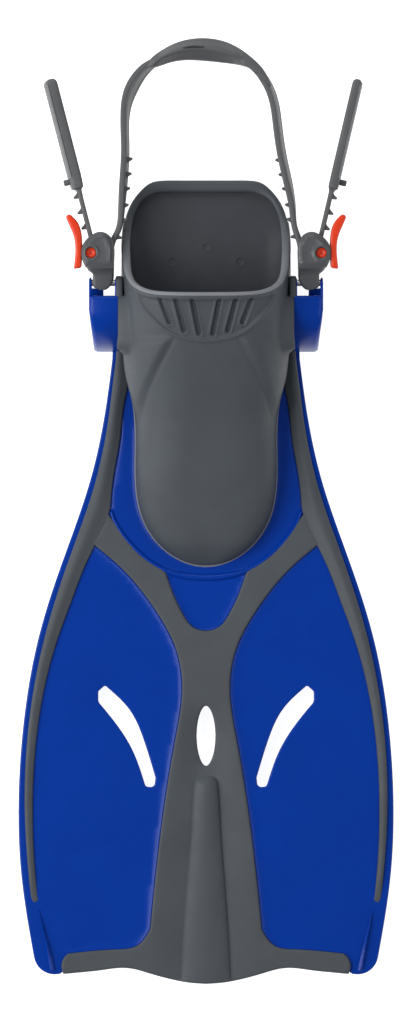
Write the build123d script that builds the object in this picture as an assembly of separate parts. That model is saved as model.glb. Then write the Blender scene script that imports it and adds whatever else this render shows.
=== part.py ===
from build123d import *
import math
import os

# Open-heel swim fin, left and right alike. Millimetres.
# +Y points to the heel, -Y to the blade's tip, +Z up; the outsole stands on z = 0.

# Layers under the foot
OUTSOLE_T = 4.0
PLATE_T = 3.0
INSOLE_T = 2.5
PLATE_MID = OUTSOLE_T + PLATE_T / 2
PLATE_TOP = OUTSOLE_T + PLATE_T

# Blade
BLADE_TIP_Y = -380.4
FLAT_END_Y = -50.0
BLADE_RISE = [(-95, 8.4), (-140, 12.3), (-210, 13.4), (-300, 10.6), (-400, 5.4)]
RIB_PROUD = 1.4
RAIL_PROUD = 2.4
CENTRE_RIB_PROUD = 2.8
REACH = 140.0

# Foot pocket
POCKET_WALL = 3.2
HEEL_Y = 118.4
HEEL_LIP = 7.4
POCKET_TOE_Y = -121.0
GROOVE_DEPTH = 1.1

# Strap posts and buckles
PIN_Y = 54.5
PIN_Z = 35.0
PIN_R = 2.0
EAR_R = 4.3
EAR_OUT = (70.7, 72.5)
EAR_IN = (53.4, 56.4)
POST_X = (54.6, 72.5)
POST_FLOOR_Y = 46.5
POST_TOP_Z = 42.0
LUG_X = (57.0, 70.1)
LUG_R = 5.2
BUCKLE_HALF_H = 13.0
CHEEK_HALF_H = 10.8
RUNNING = 0.06

# Strap, its roller and its lever
STRAP_HALF_W = 8.0
LOOP_HALF_W = 11.0
STRAP_T = 3.0
LOOP_T = 4.2
GRIP_T = 6.8
TOOTH_H = 3.0
TOOTH_HALF_W = 6.5
TOOTH_PITCH = 9.65
ROLLER_AT = (64.5, 72.5)
ROLLER_R = 2.2
ROLLER_PIN_R = 1.3
WRAP_R = ROLLER_R + 0.3 + STRAP_T / 2
LEVER_AT = (71.3, 72.85)
TRUNNION_R = 3.3
LEVER_HALF_H = 10.3
LEVER_ARM_Z = 8.4

SIDES = {"left": -1, "right": 1}


def closed_face(*edges):
    """Face bounded by edges that meet end to end."""
    return make_face(Curve() + list(edges))


def mirrored_outline(points):
    """Face from a right-hand line of points and its mirror image."""
    left = [(-x, y) for x, y in reversed(points) if x > 0]
    if points[0][0] == 0:
        around = Spline(*left, *points)
        return closed_face(around, Line(around @ 1, around @ 0))
    right = Spline(*points)
    other = Spline(*left)
    return closed_face(right, other, Line(right @ 1, other @ 0), Line(other @ 1, right @ 0))


def prism(face, low, high):
    """Vertical solid on a plan outline."""
    return extrude(Plane.XY.offset(low) * face, high - low)


def side_prism(points, x_low, x_high):
    """Solid across the fin on a side-view (y, z) polygon."""
    face = make_face(Polyline(*points, close=True))
    return extrude(Plane.YZ.offset(x_low) * face, x_high - x_low)


def mid_line(rise):
    """Side-view line a given height above the blade's middle surface."""
    flat = Line((HEEL_Y + 8, PLATE_MID + rise), (FLAT_END_Y, PLATE_MID + rise))
    fall = Spline((FLAT_END_Y, PLATE_MID + rise), *[(y, z + rise) for y, z in BLADE_RISE])
    return flat, fall


def blade_layer(below, above):
    """Layer of the blade's sweep, measured from its middle surface."""
    low_flat, low_fall = mid_line(below)
    top_flat, top_fall = mid_line(above)
    face = closed_face(
        low_flat, low_fall, top_flat, top_fall,
        Line(low_flat @ 0, top_flat @ 0), Line(low_fall @ 1, top_fall @ 1),
    )
    return extrude(Plane.YZ.offset(-REACH) * face, 2 * REACH)


def both_sides(shape):
    """A right-hand shape with its mirror image."""
    return shape + shape.mirror(Plane.YZ)


# ---------------------------------------------------------------- plan outlines

def blade_outline():
    edge = Spline(
        (58.2, 8), (61.6, -18), (71.9, -67.6), (88.8, -117.2), (104.3, -166.8),
        (113, -216.4), (116.4, -272), (115, -309), (110.5, -343), (106.8, -364),
    )
    corner = ThreePointArc((106.8, -364), (102.5, -371.5), (94, -374.6))
    tail = Spline((94, -374.6), (52, -369.2), (28, -376.4), (0, BLADE_TIP_Y))
    left = [e.mirror(Plane.YZ) for e in (edge, corner, tail)]
    return closed_face(edge, corner, tail, *left, Line((-58.2, 8), (58.2, 8)))


def pocket_outline(inset, rear_y):
    """Plan of the foot pocket, pulled in by inset all round but the heel."""
    return mirrored_outline(
        [
            (0.0, POCKET_TOE_Y + inset), (26 - inset, -110.5 + inset), (39.5 - inset, -91),
            (43.8 - inset, -62), (44.4 - inset, -30), (50.6 - inset, 6), (52.4 - inset, 45),
            (51.4 - inset, 88), (44.5 - inset, rear_y - 9), (28, rear_y),
        ]
    )


def rail_outline():
    outer = Spline(
        (57, 9), (58.3, -18), (67.6, -67.6), (84.5, -117.2), (100.4, -166.8),
        (109.7, -216.4), (112.4, -278), (110.2, -312), (108.6, -326),
    )
    inner = Spline(
        (50.8, 9), (50.4, -18), (58.3, -67.6), (73.6, -117.2), (92.4, -166.8),
        (104.2, -216.4), (108.4, -278), (106.5, -312), (105.2, -323),
    )
    end = ThreePointArc(inner @ 1, (106.4, -326.6), outer @ 1)
    return closed_face(outer, inner, end, Line(inner @ 0, outer @ 0))


def web_outline():
    """Right half of the Y web and tip strip, with a little past the rail."""
    upper = Spline((62, -86.5), (53.3, -98.6), (41, -113.6), (25.4, -123.4))
    window = Spline((25.4, -123.4), (18.6, -142), (10.5, -156), (0, -161))
    lower = Spline(
        (72, -106), (51.5, -123.4), (31.6, -148.2), (18.6, -173), (14.9, -197.8),
        (19.2, -228.8), (25.4, -266), (31.6, -315.6), (34.7, -346.6),
    )
    flare = Spline((34.7, -346.6), (42.8, -356.6), (56, -359), (85.6, -360.2))
    end = ThreePointArc((85.6, -360.2), (90, -367.5), (85.6, -385))
    return closed_face(
        upper, window, lower, flare, end, Line((62, -86.5), (72, -106)),
        Line((85.6, -385), (0, -385)), Line((0, -385), (0, -161)),
    )


def side_vent():
    outer = Spline((66.3, -205.8), (54.6, -220.4), (45.2, -236), (38, -256))
    inner = Spline((60.6, -196.8), (47.6, -210), (38.6, -229), (31.4, -252.3))
    top = ThreePointArc(outer @ 0, (65.6, -198), inner @ 0)
    foot = ThreePointArc(outer @ 1, (33.6, -257.6), inner @ 1)
    return closed_face(outer, inner, top, foot)


def centre_vent():
    return make_face(
        ThreePointArc((0, -207.7), (5.9, -226.3), (0, -244.9))
        + ThreePointArc((0, -244.9), (-5.9, -226.3), (0, -207.7))
    )


# ---------------------------------------------------------------- strap post

def strap_post():
    """Right-hand post that stands beside the pocket, with its two clevis ears."""
    block = side_prism(
        [(POST_FLOOR_Y, 2), (POST_FLOOR_Y, POST_TOP_Z - 1), (POST_FLOOR_Y - 1, POST_TOP_Z),
         (38, 41.4), (31, 38.5), (25, 33), (19, 24), (14.5, 15), (11.8, 9), (11.8, 4.5), (15, 2)],
        *POST_X,
    )
    ear = side_prism(
        [(36, 33.5), (PIN_Y, PIN_Z - EAR_R), (PIN_Y, PIN_Z + EAR_R), (36, POST_TOP_Z - 1.5)], 0, 1
    )
    ear = ear + extrude(Plane.YZ * (Pos(PIN_Y, PIN_Z) * Circle(EAR_R)), 1)
    for low, high in (EAR_IN, EAR_OUT):
        block = block + Pos(low, 0, 0) * scale(ear, by=(high - low, 1, 1))
    hole = extrude(Plane.YZ.offset(EAR_IN[0]) * (Pos(PIN_Y, PIN_Z) * Circle(PIN_R)), 30)
    return block - hole


def make_blade():
    plate = prism(blade_outline(), 0, 30)
    foot_plate = prism(pocket_outline(POCKET_WALL + 1.5, HEEL_Y - HEEL_LIP + 2), 0, 30)
    bridge = Pos(0, 26, 15) * Box(2 * POST_X[0] + 4, 34, 30)
    body = (plate + foot_plate + bridge) & blade_layer(-PLATE_T / 2, PLATE_T / 2)
    body = body + both_sides(strap_post())
    strake = make_face(Polyline((103.5, -336.5), (98.2, -371.5), (95.2, -372.5), close=True))
    body = body + both_sides(prism(strake, 0, 30) & blade_layer(0, PLATE_T / 2 + 1.6))
    window = mirrored_outline([(8, -186), (11, -205), (14, -235), (21, -285), (28, -350)])
    openings = prism(window, 0, 30) + both_sides(prism(side_vent(), 0, 30))
    openings = openings + Pos(0, -375, 15) * Box(172, 20, 30)
    for y, x in ((-30, 55.5), (-60, 61), (-90, 69.5), (-130, 84.5), (-170, 97.5), (-210, 106),
                 (-250, 109.6), (-290, 110.2)):
        peg = Pos(x, y, 15) * Cylinder(1.6, 30)
        openings = openings + both_sides(peg)
    return body - openings


# ---------------------------------------------------------------- soft parts of the blade

def make_rail(side, blade, pocket):
    top = [(y, z + PLATE_T / 2 + RAIL_PROUD) for y, z in
           ((12, 5.5), (-20, 5.5), (-50, 5.5), (-95, 8.4), (-140, 12.3), (-210, 13.4), (-270, 11.8),
            (-330, 9.3))]
    bottom = [(-330, 0), (-290, 0), (-200, 1.6), (-100, 2.6), (12, 2.6)]
    profile = side_prism(top + bottom, 0, REACH)
    rail = prism(rail_outline(), 0, 30) & profile
    if side < 0:
        rail = rail.mirror(Plane.YZ)
    return rail - blade - pocket


def make_web(blade, rails, pocket):
    outline = both_sides(prism(web_outline(), 0, 40)) & prism(blade_outline(), 0, 40)
    layer = PLATE_T / 2 + RIB_PROUD
    web = outline & blade_layer(-layer, layer)
    rib = mirrored_outline([(0, -250.2), (6.8, -253.6), (10.2, -280), (13, -315.6), (16.4, -392)])
    rib = prism(rib, 0, 40) & prism(blade_outline(), 0, 40)
    web = web + (rib & blade_layer(0, PLATE_T / 2 + CENTRE_RIB_PROUD))
    web = web - prism(centre_vent(), 0, 40)
    return web - blade - rails - pocket


# ---------------------------------------------------------------- foot pocket

def pocket_loft(inset):
    """Round-topped sleeve for the foot, pulled in by inset."""
    stations = (
        (124, 52.6, 78), (48, 52.6, 76), (18, 52, 66.5), (-12, 49, 55.5), (-42, 45.4, 46),
        (-70, 44.6, 38.5), (-94, 40.5, 31.5), (-112, 32, 25), (-121, 24, 20.5),
    )
    faces = []
    for y, half, top in stations:
        w = half - inset
        h = top - inset
        arch = Spline(
            (-w, 0), (-w, 0.45 * h), (-0.76 * w, 0.84 * h), (0, h), (0.76 * w, 0.84 * h),
            (w, 0.45 * h), (w, 0),
        )
        face = make_face(arch + Line((w, 0), (-w, 0)))
        faces.append(Plane.XZ.offset(-y) * face)
    return loft(faces, ruled=True)


def rim_cut():
    """Everything above and behind the pocket's mouth."""
    rim = Spline(
        (130, 12.5), (111, 13.5), (95, 18.5), (82, 26), (71, 36.5), (62, 49), (54.5, 62), (47.7, 76),
        (45.6, 92),
    )
    face = make_face(rim + Polyline((45.6, 92), (130, 92), (130, 12.5)))
    return extrude(Plane.YZ.offset(-REACH) * face, 2 * REACH)


def make_pocket(blade):
    outer = pocket_loft(0)
    body = outer & prism(pocket_outline(0, HEEL_Y), OUTSOLE_T, 95)
    hollow = pocket_loft(POCKET_WALL) & prism(
        pocket_outline(POCKET_WALL, HEEL_Y - HEEL_LIP), PLATE_TOP, 95
    )
    grooves = None
    for x, length, lean in ((7.6, 25, 4), (21.4, 22, 14), (32, 16, 24)):
        slot = Pos(x - length * 0.5 * math.sin(math.radians(lean)), 44 - length / 2, 0) * (
            Rot(0, 0, 90 - lean) * SlotOverall(length, 3.4)
        )
        bar = both_sides(prism(slot, 30, 90))
        grooves = bar if grooves is None else grooves + bar
    skin = outer - pocket_loft(GROOVE_DEPTH)
    under = blade_layer(-40, -PLATE_T / 2)
    return body - hollow - rim_cut() - (grooves & skin) - blade - under, body


def make_insole(pocket, blade):
    plan = pocket_outline(POCKET_WALL + 1.4, HEEL_Y - HEEL_LIP - 1.2)
    keep = Pos(0, 10, 20) * Box(120, 210, 40)
    layer = prism(plan, 0, 40) & blade_layer(PLATE_T / 2, PLATE_T / 2 + INSOLE_T)
    return (layer & keep) - pocket


def make_outsole():
    plan = prism(pocket_outline(7, HEEL_Y - 5), 0, 20) & Pos(0, 4, 10) * Box(120, 212, 20)
    sole = plan & blade_layer(-40, -PLATE_T / 2)
    for y in (-86, -66, -46, -26, 26, 46, 66, 86):
        sole = sole - Pos(0, y, 0) * Box(120, 4, 3)
    return sole


# ---------------------------------------------------------------- heel strap

TAIL_ENDS = {"left": (-96.4, 180.4), "right": (93.8, 180.4)}
LOOP_POINTS = [
    (-57.9, 79.6), (-54.6, 86.5), (-52.4, 99), (-51, 118), (-50, 137), (-50.3, 152), (-48.8, 167),
    (-43.5, 179.5), (-33.5, 190), (-18, 194.4), (0, 194.9), (14, 193.8), (26, 190), (35, 182),
    (41.4, 169), (44.3, 152), (46.9, 134), (50.6, 117), (53.4, 101), (55.2, 87.5), (57.9, 79.6),
]
LEG_LEAN = math.radians(36.9)


def wrap_points(side):
    """Where the strap meets its turn round the roller: leg end, lowest, tail end."""
    cx, cy = ROLLER_AT
    end_x, end_y = TAIL_ENDS[side]
    run = math.hypot(abs(end_x) - cx, end_y - cy)
    lean = math.atan2(end_y - cy, abs(end_x) - cx) + math.asin(WRAP_R / run)
    angles = (math.pi + LEG_LEAN, 1.5 * math.pi, lean - math.pi / 2)
    return [(cx + WRAP_R * math.cos(a), cy + WRAP_R * math.sin(a)) for a in angles]


def offset_point(edge, at, shift):
    """Point beside an edge, shift to its left."""
    tangent = edge % at
    return edge @ at + Vector(-tangent.Y, tangent.X) * shift


def loop_line():
    x, y = wrap_points("left")[0]
    lead = (x - 2 * math.sin(LEG_LEAN), y + 2 * math.cos(LEG_LEAN))
    ends = [(x, y), lead]
    points = [(-x, y) for x, y in ends] + LOOP_POINTS + list(reversed(ends))
    return Spline(*points)


def loop_solid(line):
    """The band round the heel, thin where it enters the buckles."""
    steps = 60
    left, right = [], []
    for i in range(steps + 1):
        at = i / steps
        full = min(1.0, min(at, 1 - at) / 0.08)
        half = (STRAP_T + (LOOP_T - STRAP_T) * full) / 2
        left.append(offset_point(line, at, half))
        right.append(offset_point(line, at, -half))
    one = Spline(*left)
    two = Spline(*right)
    face = closed_face(one, two, Line(one @ 0, two @ 0), Line(one @ 1, two @ 1))
    band = prism(face, PIN_Z - LOOP_HALF_W, PIN_Z + LOOP_HALF_W)
    side = [(60, STRAP_HALF_W), (96, STRAP_HALF_W), (128, LOOP_HALF_W), (210, LOOP_HALF_W)]
    profile = [(y, PIN_Z + h) for y, h in side] + [(y, PIN_Z - h) for y, h in reversed(side)]
    return band & side_prism(profile, -REACH, REACH)


def tooth(at, along, out):
    """Saw tooth: an upright face, then a ramp that runs along the strap."""
    root = at - out * 0.6
    points = [root, at + out * TOOTH_H, at + out * TOOTH_H + along * 0.9, root + along * 4.4]
    face = make_face(Polyline(*[(p.X, p.Y) for p in points], close=True))
    return prism(face, PIN_Z - TOOTH_HALF_W, PIN_Z + TOOTH_HALF_W)


def tail_solid(side):
    """Turn round the roller, toothed run, and the thick grip with its stud."""
    leg, low, tail = wrap_points(side)
    end = Vector(abs(TAIL_ENDS[side][0]), TAIL_ENDS[side][1])
    start = Vector(*tail)
    up = (end - start).normalized()
    out = Vector(up.Y, -up.X)
    length = (end - start).length
    z = (PIN_Z - STRAP_HALF_W, PIN_Z + STRAP_HALF_W)
    centre = Vector(*ROLLER_AT)
    rings = []
    for radius in (WRAP_R - STRAP_T / 2, WRAP_R + STRAP_T / 2):
        spots = [centre + (Vector(*p) - centre) * (radius / WRAP_R) for p in (leg, low, tail)]
        rings.append(ThreePointArc(*spots))
    inner, outer = rings
    solid = prism(
        closed_face(inner, outer, Line(inner @ 0, outer @ 0), Line(inner @ 1, outer @ 1)), *z
    )
    grip_from = length - 68
    half = STRAP_T / 2
    corners = [start - out * half, end - up * 10 - out * half, end - up * 10 + out * half,
               start + out * half]
    solid = solid + prism(make_face(Polyline(*[(p.X, p.Y) for p in corners], close=True)), *z)
    middle = start + up * (grip_from + length) / 2
    turn = math.degrees(math.atan2(up.Y, up.X))
    grip = Pos(middle.X, middle.Y) * Rot(0, 0, turn) * RectangleRounded(length - grip_from, GRIP_T, 2.4)
    solid = solid + prism(grip, PIN_Z - STRAP_HALF_W - 2, PIN_Z + STRAP_HALF_W + 2)
    for run in (7.4, 17.4, 27.2, 37):
        solid = solid + tooth(start + up * run + out * half, up, out)
    stud = start + up * (grip_from + 6) + out * (GRIP_T / 2 - 0.5)
    plane = Plane(origin=(stud.X, stud.Y, PIN_Z), z_dir=(out.X, out.Y, 0))
    solid = solid + extrude(plane * Circle(1.9), 3.6)
    return solid if side == "right" else solid.mirror(Plane.YZ)


def make_strap():
    line = loop_line()
    strap = loop_solid(line)
    for i in range(7):
        run = 6.4 + TOOTH_PITCH * i
        for at, way in ((run, 1), (line.length - run, -1)):
            spot = line.position_at(at, position_mode=PositionMode.LENGTH)
            along = line.tangent_at(at, position_mode=PositionMode.LENGTH) * -way
            inward = Vector(-along.Y, along.X) * way
            thick = STRAP_T + (LOOP_T - STRAP_T) * min(1.0, run / line.length / 0.08)
            strap = strap + tooth(spot + inward * thick / 2, along, inward)
    return strap + tail_solid("left") + tail_solid("right")


def make_heel_pad(strap):
    rear = Spline(
        (-35.4, 191.6), (-28.5, 197.2), (-19.5, 202.4), (0, 205.8), (16, 202), (27.6, 194.4),
    )
    front = Spline((-33.2, 187.4), (-22, 190.9), (0, 191.6), (18.6, 189.4), (25, 186.8))
    plan = closed_face(rear, front, Line(rear @ 0, front @ 0), Line(rear @ 1, front @ 1))
    half = LOOP_HALF_W + 1.8
    pad = prism(plan, PIN_Z - half, PIN_Z + half)
    slot = Pos(-7.5, 200.3) * SlotOverall(17, 2.6)
    return pad - strap - prism(slot, 0, 80)


# ---------------------------------------------------------------- buckles

def buckle_plan():
    return make_face(
        Spline(
            (71.9, 83.1), (65.1, 85.9), (59.6, 83.4), (56.9, 77), (56.9, 66), (57.9, 55), (63.2, 49.8),
            (69.6, 52), (73, 60.5), (76.6, 68.5), (76.4, 77.5), periodic=True,
        )
    )


def make_buckle():
    """Right-hand buckle: two cheeks joined by a wedge that ends in the pin lug."""
    flare = [(40, LUG_R), (PIN_Y, LUG_R), (62, 6.6), (66, BUCKLE_HALF_H), (90, BUCKLE_HALF_H)]
    profile = [(y, PIN_Z + h) for y, h in flare] + [(y, PIN_Z - h) for y, h in reversed(flare)]
    body = prism(buckle_plan(), 15, 55) & side_prism(profile, 50, 80)
    lug = extrude(Plane.YZ.offset(LUG_X[0]) * (Pos(PIN_Y, PIN_Z) * Circle(LUG_R)), 13.1)
    nose = Pos(63.5, PIN_Y - 10, PIN_Z) * Box(30, 20, 40)
    body = (body - nose) + (lug & prism(buckle_plan(), 15, 55))
    body = body - Pos(60 + LUG_X[1], 59.7 - 10, PIN_Z) * Box(120, 20, 40)
    channel = [(62.6, 5), (67.2, CHEEK_HALF_H), (92, CHEEK_HALF_H)]
    profile = [(y, PIN_Z + h) for y, h in channel] + [(y, PIN_Z - h) for y, h in reversed(channel)]
    body = body - side_prism(profile, 50, 70.6)
    body = body - Pos(75.6, 76, PIN_Z) * Box(10, 36, 2 * CHEEK_HALF_H)
    body = body - Pos(*LEVER_AT, PIN_Z) * Cylinder(TRUNNION_R + RUNNING, 40)
    body = body - Pos(*ROLLER_AT, PIN_Z) * Cylinder(ROLLER_PIN_R, 24.4)
    return body - extrude(
        Plane.YZ.offset(50) * (Pos(PIN_Y, PIN_Z) * Circle(PIN_R + RUNNING)), 30
    )


def make_lever():
    """Right-hand lever: outer handle, pawl and two arms that end in trunnions."""
    out = Spline((81.2, 64.5), (80.1, 73), (81.6, 84.5), (86.3, 94.2))
    tip = ThreePointArc((86.3, 94.2), (85.9, 96), (83.6, 96.4))
    back = Spline((83.6, 96.4), (79.2, 91.5), (76.9, 83.5), (76.7, 73), (76.5, 64.5))
    handle = prism(
        closed_face(out, tip, back, Line((76.5, 64.5), (81.2, 64.5))),
        PIN_Z - LEVER_HALF_H, PIN_Z + LEVER_HALF_H,
    )
    pawl = make_face(
        Polyline((78, 69), (73.8, 69), (71.3, 72.2), (73.3, 77.4), (78, 77.4), close=True)
    )
    lever = handle + prism(pawl, PIN_Z - LEVER_HALF_H, PIN_Z + LEVER_HALF_H)
    for way in (-1, 1):
        cheek = Pos(*LEVER_AT, PIN_Z + way * (LEVER_ARM_Z + LEVER_HALF_H) / 2)
        lever = lever + cheek * Cylinder(TRUNNION_R, LEVER_HALF_H - LEVER_ARM_Z)
        stub = Pos(*LEVER_AT, PIN_Z + way * (LEVER_ARM_Z + 11.9) / 2)
        lever = lever + stub * Cylinder(TRUNNION_R, 11.9 - LEVER_ARM_Z)
    return lever


def make_roller():
    sleeve = Cylinder(ROLLER_R, 2 * LEVER_ARM_Z - 0.4)
    return Pos(*ROLLER_AT, PIN_Z) * (sleeve - Cylinder(ROLLER_PIN_R + 0.05, 40))


def make_roller_pin():
    return Pos(*ROLLER_AT, PIN_Z) * Cylinder(ROLLER_PIN_R, 24.4)


def make_swivel_pin():
    span = (EAR_IN[0], EAR_OUT[1] - 0.2)
    circle = Plane.YZ.offset(span[0]) * (Pos(PIN_Y, PIN_Z) * Circle(PIN_R))
    return extrude(circle, span[1] - span[0])


def make_lever_spring():
    """Bowed leaf between the buckle's wedge and the lever's foot."""
    bow = ThreePointArc((71, 61.2), (74.6, 64.6), (76, 69))
    inner = ThreePointArc((71, 61.6), (74.3, 64.8), (75.6, 69))
    face = closed_face(bow, inner, Line(bow @ 0, inner @ 0), Line(bow @ 1, inner @ 1))
    return prism(face, PIN_Z - 3, PIN_Z + 3)


def main():
    os.makedirs("parts", exist_ok=True)
    blade = make_blade()
    pocket, pocket_solid = make_pocket(blade)
    rails = {name: make_rail(way, blade, pocket_solid) for name, way in SIDES.items()}
    strap = make_strap()
    nodes = {
        "blade": blade,
        "foot_pocket": pocket,
        "insole": make_insole(pocket, blade),
        "outsole": make_outsole(),
        "centre_web": make_web(blade, rails["left"] + rails["right"], pocket_solid),
        "heel_strap": strap,
        "heel_pad": make_heel_pad(strap),
    }
    right_hand = {
        "buckle_body": make_buckle(),
        "lever": make_lever(),
        "roller": make_roller(),
        "roller_pin": make_roller_pin(),
        "swivel_pin": make_swivel_pin(),
        "lever_spring": make_lever_spring(),
    }
    for name, way in SIDES.items():
        nodes[f"{name}_side_rail"] = rails[name]
        for piece, shape in right_hand.items():
            nodes[f"{name}_{piece}"] = shape if way > 0 else shape.mirror(Plane.YZ)
    for name, shape in nodes.items():
        export_step(shape, f"parts/{name}.step")


main()
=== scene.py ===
import math

import bmesh
import bpy
import numpy as np
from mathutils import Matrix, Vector
from mathutils.geometry import delaunay_2d_cdt


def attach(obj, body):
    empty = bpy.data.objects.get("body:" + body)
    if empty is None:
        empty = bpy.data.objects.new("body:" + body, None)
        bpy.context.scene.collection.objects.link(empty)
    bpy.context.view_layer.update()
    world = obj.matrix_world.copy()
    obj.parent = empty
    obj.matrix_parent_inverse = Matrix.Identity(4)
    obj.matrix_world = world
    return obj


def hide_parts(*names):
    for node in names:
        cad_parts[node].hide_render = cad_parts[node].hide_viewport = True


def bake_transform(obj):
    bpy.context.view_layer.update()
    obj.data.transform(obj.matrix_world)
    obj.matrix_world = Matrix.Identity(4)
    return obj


# Open-heel swim fin. Shapes are worked out in millimetres in the CAD frame: +Y to the
# heel, -Y to the blade's tip, +Z up, the outsole on z = 0. Meshes are written in metres.

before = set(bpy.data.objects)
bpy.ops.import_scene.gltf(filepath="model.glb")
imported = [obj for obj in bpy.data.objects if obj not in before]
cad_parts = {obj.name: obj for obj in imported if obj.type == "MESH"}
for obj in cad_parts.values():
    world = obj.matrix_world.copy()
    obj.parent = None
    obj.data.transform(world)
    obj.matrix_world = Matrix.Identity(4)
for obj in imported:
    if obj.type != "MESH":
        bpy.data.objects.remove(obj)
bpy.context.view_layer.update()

MM = 0.001
PLATE_HALF = 1.5  # half the blade's thickness
FLAT_MID = 5.5  # height of the blade's middle surface under the foot
SOLE_TOP = 4.2  # height at which the pocket meets the outsole
PIN_Y, PIN_Z = 54.5, 35  # the swivel pins; the strap and buckles are level with them
POST_IN, POST_OUT = 54.6, 72.4  # faces of a strap post
SIDES = {"left": -1, "right": 1}


# --- curves


def natural(knots, values):
    """Natural cubic through values at rising knots, as a function."""
    t = np.array(knots, float)
    v = np.array(values, float)
    if v.ndim == 1:
        v = v[:, None]
    h = np.diff(t)
    n = len(t)
    a = np.eye(n)
    r = np.zeros_like(v)
    for i in range(1, n - 1):
        a[i, i - 1 : i + 2] = h[i - 1], 2 * (h[i - 1] + h[i]), h[i]
        r[i] = 6 * ((v[i + 1] - v[i]) / h[i] - (v[i] - v[i - 1]) / h[i - 1])
    m = np.linalg.solve(a, r)

    def at(x):
        x = np.clip(np.asarray(x, float), t[0], t[-1])
        k = np.clip(np.searchsorted(t, x, side="right") - 1, 0, n - 2)
        u = (x - t[k])[..., None]
        w = h[k][..., None]
        slope = (v[k + 1] - v[k]) / w - w * (2 * m[k] + m[k + 1]) / 6
        out = v[k] + u * slope + u**2 * m[k] / 2 + u**3 * (m[k + 1] - m[k]) / (6 * w)
        return out[..., 0] if v.shape[1] == 1 else out

    return at


def pairs(x, y):
    return np.stack([x, y], axis=1)


def run_along(line):
    """Distance along a line to each of its points."""
    return np.concatenate([[0], np.cumsum(np.linalg.norm(np.diff(line, axis=0), axis=1))])


def curve(points, step=1.6):
    """Points along a smooth line through the given ones."""
    p = np.array(points, float)
    t = run_along(p)
    return natural(t, p)(np.linspace(0, t[-1], max(3, round(t[-1] / step) + 1)))


def chain(*parts):
    """Lines end to end as one list of points, with no point twice."""
    out = []
    for part in parts:
        for p in part:
            if not out or math.dist(out[-1], p) > 0.05:
                out.append((float(p[0]), float(p[1])))
    if math.dist(out[0], out[-1]) < 0.05:
        out.pop()
    return np.array(out)


def flip(points):
    """Mirror image of a line of points, run the other way."""
    p = np.array(points, float)[::-1].copy()
    p[:, 0] *= -1
    return p


def straight(a, b, step=1.6):
    """Points along a straight line."""
    count = max(2, round(math.dist(a, b) / step) + 1)
    return np.linspace(a, b, count)


def arc3(a, b, c, count=10):
    """Circular arc from a through b to c."""
    (ax, ay), (bx, by), (cx, cy) = a, b, c
    d = 2 * (ax * (by - cy) + bx * (cy - ay) + cx * (ay - by))
    a2, b2, c2 = ax**2 + ay**2, bx**2 + by**2, cx**2 + cy**2
    ox = (a2 * (by - cy) + b2 * (cy - ay) + c2 * (ay - by)) / d
    oy = (a2 * (cx - bx) + b2 * (ax - cx) + c2 * (bx - ax)) / d
    start, mid, end = (math.atan2(y - oy, x - ox) for x, y in (a, b, c))
    turn = (end - start) % math.tau
    if (mid - start) % math.tau > turn:
        turn -= math.tau
    r = math.dist(a, (ox, oy))
    angles = start + turn * np.linspace(0, 1, count)
    return pairs(ox + r * np.cos(angles), oy + r * np.sin(angles))


def directions(line):
    """Unit directions along an open line, and the ones to the left of them."""
    along = np.gradient(line, axis=0)
    along /= np.linalg.norm(along, axis=1)[:, None]
    return along, pairs(-along[:, 1], along[:, 0])


def inwards(loop):
    """Unit directions to the left of a closed line."""
    along = np.roll(loop, -1, axis=0) - np.roll(loop, 1, axis=0)
    along /= np.maximum(np.linalg.norm(along, axis=1), 1e-9)[:, None]
    return pairs(-along[:, 1], along[:, 0])


def circle(x, y, r, count):
    a = np.arange(count) * math.tau / count
    return pairs(x + r * np.cos(a), y + r * np.sin(a))


def distance(points, lines, closed=True):
    """Distance from each point to the nearest of several lines."""
    best = np.full(len(points), 1e9)
    for line in lines:
        a = line if closed else line[:-1]
        b = np.roll(line, -1, axis=0) if closed else line[1:]
        for low in range(0, len(points), 1500):
            p = points[low : low + 1500, None]
            d = (b - a)[None]
            t = ((p - a) * d).sum(2) / np.maximum((d**2).sum(2), 1e-12)
            gap = p - a - d * np.clip(t, 0, 1)[..., None]
            near = np.sqrt((gap**2).sum(2)).min(1)
            best[low : low + 1500] = np.minimum(best[low : low + 1500], near)
    return best


def gap_to(points, *lines):
    """Distance from each point to the nearest of several open lines."""
    return distance(points, lines, closed=False)


def inside(points, line):
    """Which points lie inside a closed line."""
    x, y = points[:, 0], points[:, 1]
    odd = np.zeros(len(points), bool)
    for (ax, ay), (bx, by) in zip(line, np.roll(line, -1, axis=0)):
        if ay != by:
            odd ^= ((ay > y) != (by > y)) & (x < (bx - ax) * (y - ay) / (by - ay) + ax)
    return odd


def clear_of(points, loops, gap):
    """The points inside the first loop that are further than gap from every loop."""
    return points[inside(points, loops[0]) & (distance(points, loops) > gap)]


def within(points, loops):
    """Which points lie inside the first loop and in none of the others."""
    return np.logical_xor.reduce([inside(points, line) for line in loops])


def smooth(x, low, high):
    """0 before low, 1 after high, and an even turn between."""
    t = np.clip((x - low) / (high - low), 0, 1)
    return t * t * (3 - 2 * t)


def bow(t):
    """Half circle of height 1 over -1 to 1."""
    return np.sqrt(np.clip(1 - t**2, 0, 1))


def window(x, start, full, fade, end):
    """0, a turn up to 1, and a turn back to 0."""
    return smooth(x, start, full) * (1 - smooth(x, fade, end))


def bump(x, centre, width):
    """A soft hump of height 1."""
    return np.exp(-(((x - centre) / width) ** 2))


def oval(centre, across, z, wide, high, count=8, tilt=0):
    """Upright oval ring about a plan point, wide along a plan direction."""
    turns = np.arange(count) * math.tau / count
    shift = wide * np.cos(turns) + tilt * high * np.sin(turns)
    spots = np.asarray(centre) + np.outer(shift, across)
    return [(*spot, z + high * math.sin(a)) for spot, a in zip(spots, turns)]


# --- meshes


def placed(name, data):
    """A new object in the scene."""
    obj = bpy.data.objects.new(name, data)
    bpy.context.scene.collection.objects.link(obj)
    return obj


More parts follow.
